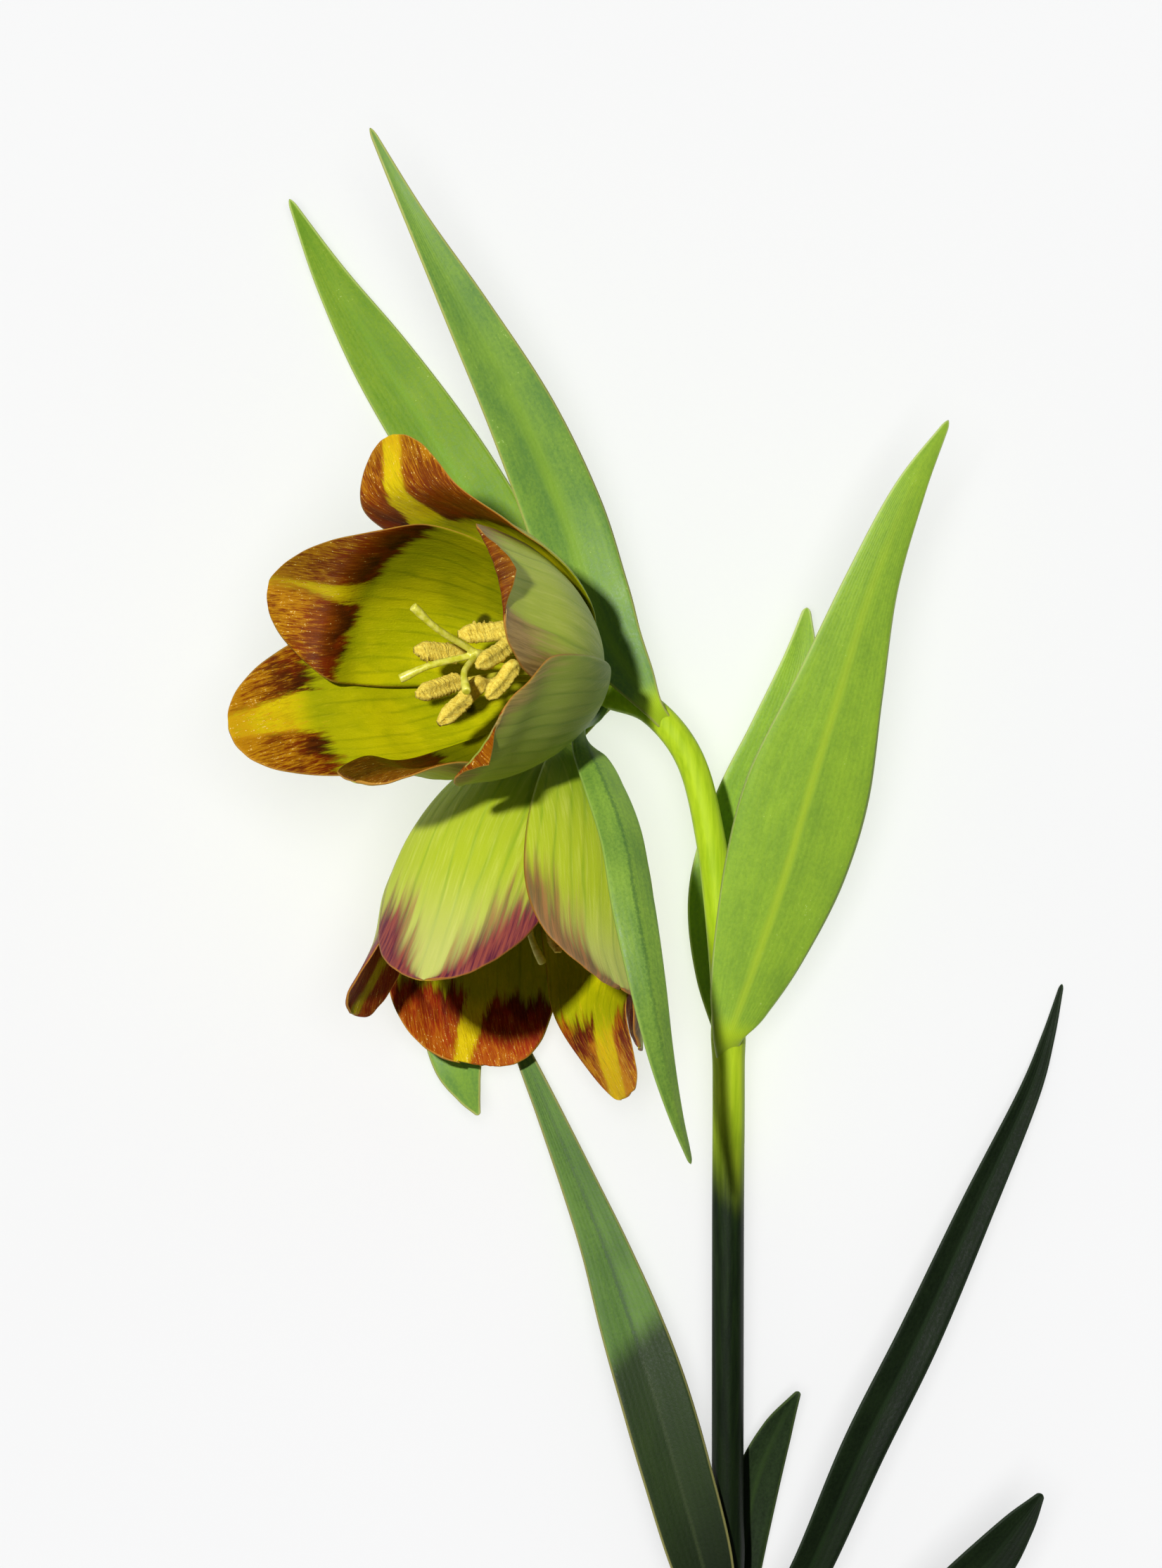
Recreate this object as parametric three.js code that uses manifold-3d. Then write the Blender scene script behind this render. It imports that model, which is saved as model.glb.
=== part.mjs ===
// A cut flowering stem of a fritillary, lying on a table: one leafy stem whose arched neck carries
// two six-tepalled bells on short pedicels, each bell with six stamens and a three-lobed pistil.
//
// Millimetres. +X runs across the stem, +Y along it towards the crown leaves, and +Z up from the table.
// The origin is under the middle of the part's box, on the table.
import * as THREE from 'three';
import { mergeVertices } from 'three/addons/utils/BufferGeometryUtils.js';
import Module from 'manifold-3d';

const wasm = await Module();
wasm.setup();

// ---- Driving dimensions -------------------------------------------------------------------------

const BOX_CENTRE = [-8.3, 64];    // middle of the part's box, measured from the stem's axis at its lowest leaf
const STEM_RADIUS = 1.85;
const NECK_RADIUS = 1.65;
const PEDICEL_RADIUS = 1.15;
const RECEPTACLE_RADIUS = 1.9;
const LEAF_THICKNESS = 0.7;
const TEPAL_THICKNESS = 0.65;
const TEPAL_WIDEST = 0.62;          // share of a tepal's length at which it is widest
const TEPAL_BASE_HALF_WIDTH = 1;
const WHORL_OFFSET = 0.65;          // outer tepals lie this far outside the bell's mean surface, inner ones inside

// ---- Small helpers ------------------------------------------------------------------------------

const degrees = (angle) => angle * Math.PI / 180;
const clamp01 = (x) => Math.min(1, Math.max(0, x));
const smooth = (from, to, x) => {
  const s = clamp01((x - from) / (to - from));
  return s * s * (3 - 2 * s);
};
const vector = (p) => new THREE.Vector3(p[0], p[1], p[2]);

// Uniform Catmull-Rom interpolation of rows of numbers, with reflected end rows. t runs from 0 to 1.
function rowAt(rows, t) {
  const spans = rows.length - 1;
  const place = clamp01(t) * spans;
  const i = Math.min(Math.floor(place), spans - 1);
  const f = place - i;
  return rows[i].map((_, k) => {
    const b = rows[i][k];
    const c = rows[i + 1][k];
    const a = i > 0 ? rows[i - 1][k] : 2 * b - c;
    const d = i + 2 <= spans ? rows[i + 2][k] : 2 * c - b;
    return 0.5 * (2 * b + (c - a) * f + (2 * a - 5 * b + 4 * c - d) * f * f + (3 * b - a - 3 * c + d) * f * f * f);
  });
}

function geometryOf(points, triangles) {
  const geometry = new THREE.BufferGeometry();
  geometry.setAttribute('position', new THREE.Float32BufferAttribute(points.flatMap((p) => [p.x, p.y, p.z]), 3));
  let volume = 0;
  for (const [a, b, c] of triangles) {
    volume += points[a].dot(new THREE.Vector3().crossVectors(points[b], points[c]));
  }
  geometry.setIndex((volume < 0 ? triangles.map(([a, b, c]) => [a, c, b]) : triangles).flat());
  return geometry;
}

// A closed sheet: faces(i, j) gives the front and the back point of each grid corner.
function sheet(rows, columns, faces) {
  const points = [];
  for (let i = 0; i <= rows; i++) {
    for (let j = 0; j <= columns; j++) points.push(...faces(i / rows, 2 * j / columns - 1));
  }
  const at = (i, j, side) => 2 * (i * (columns + 1) + j) + side;
  const triangles = [];
  const quad = (a, b, c, d) => triangles.push([a, b, c], [a, c, d]);
  for (let i = 0; i < rows; i++) {
    for (let j = 0; j < columns; j++) {
      const corners = [[i, j], [i + 1, j], [i + 1, j + 1], [i, j + 1]];
      const [a, b, c, d] = corners.map(([m, n]) => at(m, n, 0));
      const [e, f, g, h] = corners.map(([m, n]) => at(m, n, 1));
      triangles.push([a, b, c], [a, c, d], [e, g, f], [e, h, g]);
    }
  }
  for (let i = 0; i < rows; i++) {
    quad(at(i, 0, 0), at(i, 0, 1), at(i + 1, 0, 1), at(i + 1, 0, 0));
    quad(at(i, columns, 0), at(i + 1, columns, 0), at(i + 1, columns, 1), at(i, columns, 1));
  }
  for (let j = 0; j < columns; j++) {
    quad(at(0, j, 0), at(0, j + 1, 0), at(0, j + 1, 1), at(0, j, 1));
    quad(at(rows, j, 0), at(rows, j, 1), at(rows, j + 1, 1), at(rows, j + 1, 0));
  }
  return geometryOf(points, triangles);
}

// A closed bar along a path of [x, y, z] rows. radiiAt(t) gives its half width and its half depth.
function bar(path, radiiAt, sides, steps) {
  const points = [];
  let across = new THREE.Vector3(0, 0, 1);
  for (let i = 0; i <= steps; i++) {
    const t = i / steps;
    const tangent = vector(rowAt(path, t + 0.004)).sub(vector(rowAt(path, t - 0.004))).normalize();
    across = across.clone().addScaledVector(tangent, -across.dot(tangent)).normalize();
    const beside = new THREE.Vector3().crossVectors(tangent, across);
    const [wide, thin] = radiiAt(t);
    const centre = vector(rowAt(path, t));
    for (let k = 0; k < sides; k++) {
      const angle = 2 * Math.PI * (k + 0.5) / sides;
      points.push(centre.clone()
        .addScaledVector(beside, wide * Math.cos(angle))
        .addScaledVector(across, thin * Math.sin(angle)));
    }
  }
  const triangles = [];
  for (let i = 0; i < steps; i++) {
    for (let k = 0; k < sides; k++) {
      const [a, b] = [i * sides + k, i * sides + (k + 1) % sides];
      triangles.push([a, b, b + sides], [a, b + sides, a + sides]);
    }
  }
  for (let k = 1; k < sides - 1; k++) {
    const last = steps * sides;
    triangles.push([0, k + 1, k], [last, last + k, last + k + 1]);
  }
  return geometryOf(points, triangles);
}

const rod = (path, radiusAt, sides, steps) => bar(path, (t) => [radiusAt(t), radiusAt(t)], sides, steps);

function solidOf(geometry) {
  const merged = mergeVertices(geometry, 1e-4);
  return new wasm.Manifold(new wasm.Mesh({
    numProp: 3,
    vertProperties: merged.attributes.position.array,
    triVerts: new Uint32Array(merged.index.array),
  }));
}

function geometryFrom(solid) {
  const mesh = solid.getMesh();
  const geometry = new THREE.BufferGeometry();
  geometry.setAttribute('position', new THREE.Float32BufferAttribute(mesh.vertProperties, 3));
  geometry.setIndex([...mesh.triVerts]);
  return geometry;
}

function joined(geometries) {
  return geometryFrom(geometries.map(solidOf).reduce((whole, next) => whole.add(next)));
}

// ---- Materials ----------------------------------------------------------------------------------

const finish = (color, roughness) => new THREE.MeshStandardMaterial({ color, roughness, metalness: 0 });
const MATERIALS = {
  stem: finish(0x8fb02a, 0.5),
  leaf: finish(0x6f9a3c, 0.55),
  lowerLeaf: finish(0x2c3d20, 0.55),
  tepal: finish(0xb2b82c, 0.4),
  stamen: finish(0xd6c455, 0.9),
  pistil: finish(0xc3c83c, 0.5),
};

const plant = new THREE.Group();
plant.name = 'fritillary';
plant.position.set(-BOX_CENTRE[0], -BOX_CENTRE[1], 0);

function add(name, geometry, material) {
  const mesh = new THREE.Mesh(geometry, material);
  mesh.name = name;
  plant.add(mesh);
}

// ---- Bells --------------------------------------------------------------------------------------
// A tepal follows the bell's meridian, rows of [radius, height] from the receptacle to the rim, and wraps round
// the bell's axis. Its own end rows follow. A third end row is a tip that rolls back outwards.

const MERIDIAN = [[2.4, 0], [7.1, 3.6], [11.1, 9], [13.8, 15], [15.2, 21]];

// azimuth: degrees from the side that looks up, at the base. sway: how far round the tip has swung. whorl: outer 1,
// inner -1. lean: how far the edge on the side of growing azimuth is lifted. cup: how closely the tip keeps the
// bell's curve, 0 for flat. wide and blunt (small for a broad end): on the side of lower and of higher azimuth. roll:
// how far the tip turns the edge of higher azimuth outwards. swell: how far the middle bulges.
const BELLS = [
  { name: 'upper', seat: [-16.7, 101.9, 19.5], heading: 172, rise: 46, girth: 0.95,
    fork: [[-12.9, 99.3, 9.6], [-15.2, 99.2, 10.4], [-16, 100, 13.4]],
    tepals: [
      { azimuth: -91, sway: -15, whorl: 1, end: [[16.7, 27.3], [22.6, 28.4]], wide: [9.6, 8.5], cup: 0.4,
        blunt: [1.05, 1.05] },
      { azimuth: -29, sway: -1, whorl: -1, end: [[15.4, 25.6], [16.8, 29.4], [18.9, 28.4]], wide: [10.2, 9.6], cup: 1,
        blunt: [1.4, 1.9] },
      { azimuth: 31, sway: 7, whorl: 1, end: [[15.6, 24.5], [16.3, 27.9], [17.9, 26.7]], wide: [9.6, 9.4], cup: 1,
        blunt: [2, 2.4] },
      { azimuth: 93, sway: -11, whorl: -1, end: [[14.2, 27.4], [16.2, 34.6]], wide: [9.2, 6.5], cup: 0.6,
        blunt: [0.9, 0.5], roll: -0.9 },
      { azimuth: 153, sway: -6, whorl: 1, end: [[17.2, 28], [21.2, 35]], wide: [9.6, 9.6], cup: 0.6,
        blunt: [0.85, 0.95] },
      { azimuth: -147, sway: -19, whorl: -1, end: [[14.8, 26.8], [21, 30.2]], wide: [11.2, 10], cup: 0.7,
        blunt: [1, 1.8] },
    ] },
  { name: 'lower', seat: [-19.8, 93.1, 11.6], heading: -102.6, rise: 18, girth: 1,
    fork: [[-12.9, 99.3, 9.6], [-15.7, 99.3, 8.9], [-17.9, 98.3, 8.7]],
    tepals: [
      { azimuth: -87, sway: -5, whorl: -1, end: [[15, 27.6], [16.1, 35.3]], wide: [9.8, 9.5], cup: 1,
        blunt: [0.9, 0.9], roll: 1.2, swell: 0.1 },
      { azimuth: -27, sway: 1, whorl: 0, lean: -0.9, end: [[16.4, 27.8], [18.6, 34.8]], wide: [10.6, 10.6], cup: 0.9,
        blunt: [0.9, 1.2] },
      { azimuth: 33, sway: 11, whorl: 1, end: [[16, 25.8], [17.6, 29.7]], wide: [10.4, 10.4], cup: 0.9,
        blunt: [0.75, 0.75] },
      { azimuth: 93, sway: -2, whorl: 0, lean: 1.05, end: [[16, 27], [16.4, 31.6]], wide: [9, 9], cup: 1,
        blunt: [0.9, 0.9] },
      { azimuth: 153, sway: -23, whorl: -1, end: [[15.1, 27.6], [20.8, 35.2]], wide: [9.9, 5.6], cup: 0.9,
        blunt: [0.75, 0.9], roll: 1.1 },
      { azimuth: -147, sway: -24, whorl: 1, end: [[16.4, 27.6], [16, 33.6]], wide: [12.6, 10], cup: 0.7,
        blunt: [0.7, 0.7] },
    ] },
];

function bellFrame(bell) {
  const [heading, rise] = [degrees(bell.heading), degrees(bell.rise)];
  const axis = new THREE.Vector3(Math.cos(heading) * Math.cos(rise), Math.sin(heading) * Math.cos(rise), Math.sin(rise));
  const front = new THREE.Vector3(0, 0, 1).addScaledVector(axis, -axis.z).normalize();
  return { seat: vector(bell.seat), girth: bell.girth, axis, front, side: new THREE.Vector3().crossVectors(front, axis) };
}

// ---- Stem ---------------------------------------------------------------------------------------
// The neck forks into two pedicels, and each swells into the receptacle that carries a bell.

const STEM_PATH = [
  [0, -35, STEM_RADIUS], [0, -10.6, 3.4], [0, 13.8, 4.9], [0, 38, 6.2], [0, 60.3, 7.4], [-0.7, 72, 8.3],
  [-2.1, 83.2, 9], [-4.4, 92, 9.5], [-8.7, 97.5, 9.7], [-13.6, 99.4, 9.6],
];

function pedicel(bell) {
  const frame = bellFrame(bell);
  const along = (height) => frame.seat.clone().addScaledVector(frame.axis, height).toArray();
  const path = [...bell.fork, along(-3), along(0.5)];
  const radius = (t) => PEDICEL_RADIUS + (RECEPTACLE_RADIUS - PEDICEL_RADIUS) * smooth(0.72, 0.93, t) - 0.4 * smooth(0.93, 1, t);
  return rod(path, radius, 8, 12);
}

const stemRadius = (t) => STEM_RADIUS + (NECK_RADIUS - STEM_RADIUS) * smooth(0.4, 0.8, t);
add('stem', joined([rod(STEM_PATH, stemRadius, 10, 40), ...BELLS.map(pedicel)]), MATERIALS.stem);

// ---- Leaves -------------------------------------------------------------------------------------
// Each spine row is [x, y, z, half width], from the leaf's base to its tip. facing is the way the blade's
// upper side looks, at its base and at its tip. channel is how far the edges rise, per mm of half width.

const LEAVES = [
  { name: 'crown_leaf_tall', facing: [[0.1, 0, 1], [0.1, 0, 1]], channel: 0.16, spine: [
    [-8.6, 97.8, 11.9, 1.2], [-10.9, 101.3, 12.3, 2.5], [-14, 106.1, 11.9, 4], [-16, 111.3, 11.4, 4.5],
    [-18.9, 120, 12, 4.6], [-23.6, 130.9, 14.4, 4], [-29.7, 142.4, 17, 2.7], [-35.4, 152.8, 18.5, 1.3],
    [-40.5, 162.9, 18.5, 0.3]] },
  { name: 'crown_leaf_back', facing: [[0, 0, 1], [0, 0, 1]], channel: 0.1, spine: [
    [-10.4, 99.6, 7.1, 1], [-16.5, 104.6, 3.4, 2.7], [-23.4, 112.7, 1.4, 4], [-28.6, 121, 0.7, 4.5],
    [-33.8, 129.1, 0.3, 4.4], [-40, 138.5, 0.6, 3.6], [-45.6, 147.5, 1.6, 2], [-50.3, 156.4, 3.4, 0.3]] },
  { name: 'crown_leaf_drooping', facing: [[0.2, -0.4, 1], [0.6, 0, 1]], channel: -0.25, spine: [
    [-15.1, 97, 10.5, 1], [-16.5, 95.6, 16, 1.2], [-16.1, 93.3, 21.4, 1.7], [-14.2, 89.2, 26.5, 2.3],
    [-12.1, 83.3, 31, 2.6], [-10.8, 75.8, 34.6, 2.6], [-9.3, 67.3, 36, 2.2], [-7.9, 59.6, 34.5, 1.6],
    [-6.3, 52.8, 31.5, 0.9], [-4.6, 47.1, 27.5, 0.25]] },
  { name: 'crown_leaf_under', facing: [[0, 0, 1], [0, 0, 1]], channel: 0, spine: [
    [-13.6, 98.8, 7.2, 1], [-19.7, 94.5, 3.6, 2.4], [-26.5, 88, 1.2, 3.1], [-30.3, 79.9, 0.3, 3.2],
    [-31.8, 70.9, 0.2, 3.4], [-31.9, 62.8, 0.6, 3.4], [-31, 57.2, 1.8, 2.9], [-29.7, 53.6, 4, 1.5],
    [-28.5, 51.3, 6, 0.25]] },
  { name: 'whorl_leaf_front', facing: [[0.2, 0, 1], [0.25, 0, 1]], channel: -0.1, spine: [
    [0, 60.3, 9.9, 1.8], [1.3, 64.2, 10.8, 3.6], [3.5, 70.5, 12.2, 5.4], [6.4, 79.5, 14.4, 7], [9, 88.7, 16.3, 7.2],
    [12.3, 99.9, 18.5, 5.2], [15.8, 111.5, 20, 3.2], [20, 121.9, 20, 1.9], [24.5, 130.1, 18, 0.3]] },
  { name: 'whorl_leaf_back', facing: [[0, 0, 1], [0, 0, 1]], channel: 0.12, spine: [
    [-0.3, 59.8, 4.6, 1.1], [0.2, 67, 3.4, 3.9], [1, 76.3, 2.6, 5.5], [3.4, 85.6, 2, 5.3], [6.3, 94.5, 1.6, 4],
    [8.3, 102.5, 1.6, 2.3], [9.2, 109.5, 2.4, 0.4]] },
  { name: 'lower_leaf_left', facing: [[0, 0, 1], [0, 0, 1]], channel: 0.14, spine: [
    [-0.4, -9.9, 6, 1.4], [-2.8, -0.4, 7.1, 3.5], [-5.9, 10.7, 7.2, 4], [-8.6, 19.9, 6.6, 4], [-11.2, 27.7, 5.4, 3.6],
    [-14, 35.7, 4, 2.8], [-16.7, 42.4, 3, 2.2], [-20.5, 51.4, 2, 1.5], [-23.4, 58, 1.5, 1], [-25.7, 63.5, 1.4, 0.25]] },
  { name: 'lower_leaf_right', facing: [[0.3, 0, 1], [-0.2, 0, 1]], channel: 0.2, spine: [
    [1.4, -15.4, 5.4, 0.9], [4.6, -8.5, 7, 2.1], [9.3, -0.2, 8.4, 2.3], [15.3, 13.4, 8.6, 2.6], [21.8, 26.1, 7, 2.5],
    [28.7, 40.8, 4.4, 2], [34.6, 53.2, 2, 1.3], [37, 59.8, 0.7, 0.8], [38.7, 66.1, 0.35, 0.25]] },
  { name: 'lower_leaf_short', facing: [[0, 0, 1], [0, 0, 1]], channel: 0.1, spine: [
    [1.4, -9, 0.8, 1.1], [1.9, 0.2, 0.9, 2.4], [3.3, 8.3, 1.6, 2.7], [5.7, 14.8, 2.9, 1.8], [8.2, 19.5, 4.4, 0.3]] },
  { name: 'lowest_leaf', facing: [[0, 0, 1], [0, 0, 1]], channel: 0.15, spine: [
    [1, -29.6, 4.6, 1.1], [6.8, -22.2, 7, 2.4], [14.7, -13.9, 9.4, 3], [22.6, -6, 11.4, 3.1], [29, 0.5, 12.4, 2.9],
    [32.8, 5.3, 12.8, 1.8], [35.4, 8.8, 13, 0.4]] },
];

function leafFaces(leaf, t, u) {
  const [x, y, z, half] = rowAt(leaf.spine, t);
  const step = 0.004;
  const tangent = vector(rowAt(leaf.spine, t + step)).sub(vector(rowAt(leaf.spine, t - step))).normalize();
  const up = vector(leaf.facing[0]).lerp(vector(leaf.facing[1]), t);
  up.addScaledVector(tangent, -up.dot(tangent)).normalize();
  const side = new THREE.Vector3().crossVectors(tangent, up);
  const middle = new THREE.Vector3(x, y, z)
    .addScaledVector(side, half * u)
    .addScaledVector(up, leaf.channel * half * u * u);
  const normal = up.clone().addScaledVector(side, -2 * leaf.channel * u).normalize();
  return [1, -1].map((way) => {
    const point = middle.clone().addScaledVector(normal, way * LEAF_THICKNESS / 2);
    point.z = Math.max(point.z, 0);   // the table presses it flat
    return point;
  });
}

for (const leaf of LEAVES) {
  const material = leaf.name.startsWith('low') ? MATERIALS.lowerLeaf : MATERIALS.leaf;
  add(leaf.name, sheet(2 * (leaf.spine.length - 1), 4, (t, u) => leafFaces(leaf, t, u)), material);
}

// ---- Tepals -------------------------------------------------------------------------------------

function tepalPoint(frame, tepal, s, u) {
  const rows = [...MERIDIAN.map(([r, h]) => [r * frame.girth, h]), ...tepal.end];
  const reach = (rows.length - 1) / (MERIDIAN.length + 1);
  const [wide, blunt] = [tepal.wide, tepal.blunt].map((pair) => pair[u < 0 ? 0 : 1]);
  const q = clamp01((s - TEPAL_WIDEST) / (1 - TEPAL_WIDEST)) * Math.PI / 2;
  const v = s < TEPAL_WIDEST ? s : TEPAL_WIDEST + (reach - TEPAL_WIDEST) * Math.sin(q);
  const growth = Math.sin(clamp01(s / TEPAL_WIDEST) * Math.PI / 2) ** 1.5;
  const body = TEPAL_BASE_HALF_WIDTH + (wide - TEPAL_BASE_HALF_WIDTH) * growth;
  const half = Math.max(0.35, body * Math.cos(q) ** blunt);
  const [radius, height] = rowAt(rows, v / reach);
  const around = degrees(tepal.azimuth + tepal.sway * v * v);
  const radial = frame.front.clone().multiplyScalar(Math.cos(around)).addScaledVector(frame.side, Math.sin(around));
  const tangential = frame.side.clone().multiplyScalar(Math.cos(around)).addScaledVector(frame.front, -Math.sin(around));
  const bend = (1 + (tepal.cup - 1) * smooth(0.45, 1, v)) / radius;
  const across = u * half;
  const layer = (tepal.whorl * WHORL_OFFSET + (tepal.lean ?? 0) * u) * smooth(0, 0.16, v)
    + (tepal.roll ?? 0) * u * smooth(0.55, 1, v) + (tepal.swell ?? 0) * Math.sin(Math.PI * clamp01(v));
  return frame.seat.clone()
    .addScaledVector(frame.axis, height)
    .addScaledVector(radial, radius + layer - (1 - Math.cos(bend * across)) / bend)
    .addScaledVector(tangential, Math.sin(bend * across) / bend);
}

function tepalFaces(frame, tepal, s, u) {
  const step = 0.003;
  const [low, high] = [Math.max(0, s - step), Math.min(1, s + step)];
  const lengthwise = tepalPoint(frame, tepal, high, u).sub(tepalPoint(frame, tepal, low, u));
  const crosswise = tepalPoint(frame, tepal, s, u + 0.02).sub(tepalPoint(frame, tepal, s, u - 0.02));
  const outward = crosswise.cross(lengthwise).normalize();
  const front = tepalPoint(frame, tepal, s, u);
  return [front, front.clone().addScaledVector(outward, -TEPAL_THICKNESS)];
}

for (const bell of BELLS) {
  const frame = bellFrame(bell);
  bell.tepals.forEach((tepal, k) => {
    const name = `${bell.name}_tepal_${k + 1}`;
    add(name, sheet(12, 8, (s, u) => tepalFaces(frame, tepal, s, u)), MATERIALS.tepal);
  });
}

// ---- Stamens and pistils ------------------------------------------------------------------------
// Each row is [azimuth, radius, height] in the bell: where a filament leaves the receptacle, and where its anther
// starts and ends.

const STAMENS = [
  [[-25, 1.8, 1], [-38, 3, 13.3], [25, 3.2, 19.4]],
  [[35, 1.8, 1], [14, 3.6, 13.9], [60, 5.4, 17]],
  [[90, 1.8, 1], [75, 3.2, 16], [88, 8.2, 21.4]],
  [[140, 1.8, 1], [130, 4.2, 16], [116, 6, 22.5]],
  [[190, 1.8, 1], [177, 4, 15.2], [174, 5, 21.5]],
  [[-100, 1.8, 1], [-105, 3.3, 10.5], [-151, 4, 16.6]],
];
const STYLE_HEIGHT = 17.3;
const LOBES = [[-115, 4.5, 25.7], [139, 6, 23.6], [47, 6, 21.6]];

function inBell(frame, [azimuth, radius, height]) {
  const around = degrees(azimuth);
  return frame.seat.clone()
    .addScaledVector(frame.axis, height)
    .addScaledVector(frame.front, radius * Math.cos(around))
    .addScaledVector(frame.side, radius * Math.sin(around));
}

function stamen(frame, rows) {
  const [base, start, end] = rows.map((row) => inBell(frame, row));
  const lead = base.clone().addScaledVector(frame.axis, 0.45 * start.distanceTo(base));
  const path = [base, lead, start, start.clone().lerp(end, 0.5), end].map((p) => p.toArray());
  const radii = (t) => {
    const anther = smooth(0.46, 0.56, t) * (1 - 0.6 * smooth(0.9, 1, t));
    return [0.35 + 0.7 * anther, 0.35 + 0.4 * anther];
  };
  return bar(path, radii, 6, 14);
}

function pistil(frame) {
  const along = (height) => frame.seat.clone().addScaledVector(frame.axis, height);
  const style = rod([along(0.8), along(STYLE_HEIGHT)].map((p) => p.toArray()),
    (t) => 0.6 + 0.5 * smooth(0, 0.1, t) * (1 - smooth(0.3, 0.5, t)), 8, 10);
  const lobes = LOBES.map((row) => {
    const end = inBell(frame, row);
    const bow = along(STYLE_HEIGHT).lerp(end, 0.5).addScaledVector(frame.axis, 0.9);
    return rod([along(STYLE_HEIGHT - 0.7), bow, end].map((p) => p.toArray()), () => 0.45, 6, 6);
  });
  return joined([style, ...lobes]);
}

for (const bell of BELLS) {
  const frame = bellFrame(bell);
  STAMENS.forEach((rows, k) => add(`${bell.name}_stamen_${k + 1}`, stamen(frame, rows), MATERIALS.stamen));
  add(`${bell.name}_pistil`, pistil(frame), MATERIALS.pistil);
}

export default plant;
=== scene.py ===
"""A cut fritillary stem lying on a table, dressed for a close look: blades with real thickness, veins and
rolled rims, streaked tepals, powdery anthers and one grown skin over the stem.

Places are in millimetres, as in the part's own source: x from the axis of the straight lower stem, y along it
from just above the bases of its lower leaves, z up from the table. mesh_object turns them into metres round
the part's origin.
"""
import math

import bpy
import numpy as np
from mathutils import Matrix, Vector


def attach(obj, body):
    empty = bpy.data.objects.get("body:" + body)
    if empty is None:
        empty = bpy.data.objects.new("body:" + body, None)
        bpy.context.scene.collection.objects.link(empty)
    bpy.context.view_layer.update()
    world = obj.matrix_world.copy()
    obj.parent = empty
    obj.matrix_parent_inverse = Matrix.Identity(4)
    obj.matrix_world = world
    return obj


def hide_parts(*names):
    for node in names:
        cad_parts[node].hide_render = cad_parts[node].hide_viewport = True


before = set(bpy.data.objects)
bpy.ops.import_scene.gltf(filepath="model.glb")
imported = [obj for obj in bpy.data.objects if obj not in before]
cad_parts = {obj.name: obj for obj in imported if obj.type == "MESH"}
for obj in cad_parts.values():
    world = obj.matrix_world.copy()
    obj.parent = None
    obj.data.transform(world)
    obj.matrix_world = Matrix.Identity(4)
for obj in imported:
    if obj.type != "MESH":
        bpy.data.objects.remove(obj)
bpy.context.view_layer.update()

MM = 0.001
BOX_CENTRE = np.array([-8.3, 64.0, 0.0])   # the part's origin on the table
BODY = "root"

# ---- Sizes -----------------------------------------------------------------------------------------

STEM_RADIUS = 1.85
NECK_RADIUS = 1.65
PEDICEL_RADIUS = 1.15
RECEPTACLE_RADIUS = 2.85       # wide enough to close the bell round the tepals' bases
FILAMENT_RADIUS = 0.33
STYLE_RADIUS = 0.55
LOBE_RADIUS = 0.4
LEAF_THICKNESS = 0.5
TEPAL_THICKNESS = 0.42
POINT_HALF_WIDTH = 0.04        # of a blade at its very tip
LEAF_TIP_RUN = 0.012           # share of a leaf over which its tip is rounded off
LEAF_ROOT_RUN = 3.5            # a leaf starts on the stem's axis, about this far behind its first row
LEAF_ROOT_WIDTH = 0.7          # its half width there, as a share of its first row's
TEPAL_DEPTH = 0.325            # the middle of a tepal's thickness lies this far outside the bell's surface
TEPAL_WIDEST = 0.62            # share of a tepal at which it is widest
TEPAL_BASE_HALF_WIDTH = 1.6
TEPAL_GROWTH = 1.05            # how late a tepal widens from its base
WHORL_OFFSET = 0.65            # outer tepals lie this far outside the bell's mean surface, inner ones inside
STRIPE_RUN = 0.35              # share of a tepal over which its stripe comes in to the middle of the tip
LINE_PITCH = 1.9               # between a tepal's ribs, and between the lines on its outside
INNER_LINE_PITCH = 1.45        # between the lines on its inside
LEAF_VEIN_PITCH = 0.7
RIB_HEIGHT = 0.025
LEAF_EDGE_WAVE = 0.03          # of a leaf's margins, as a share of its half width
TEPAL_EDGE_WAVE = 0.16         # of a tepal's margins, mm
STEADY_HALF_WIDTH = 2.5        # where a tepal's end is narrower, its normals stay as they were just before

# The stem's axis from its cut end to its fork, [x, y, z].
STEM_PATH = [
    [0, -35, STEM_RADIUS], [0, -10.6, 3.4], [0, 13.8, 4.9], [0, 38, 6.2], [0, 60.3, 7.4], [-0.7, 72, 8.3],
    [-2.1, 83.2, 9], [-4.4, 92, 9.5], [-8.7, 97.5, 9.7], [-13.6, 99.4, 9.6],
]
LEAF_SCARS = (0.11, 0.165, 0.445)          # shares of that path where the stem swells a little under a leaf
SCAR_RUN = 0.012
SCAR_SWELLING = 0.16

# A bell's surface, [radius, height] from its seat up, which each tepal carries on to an end of its own.
MERIDIAN = [[2.4, 0], [7.1, 3.6], [11.1, 9], [13.8, 15], [15.2, 21]]

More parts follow.
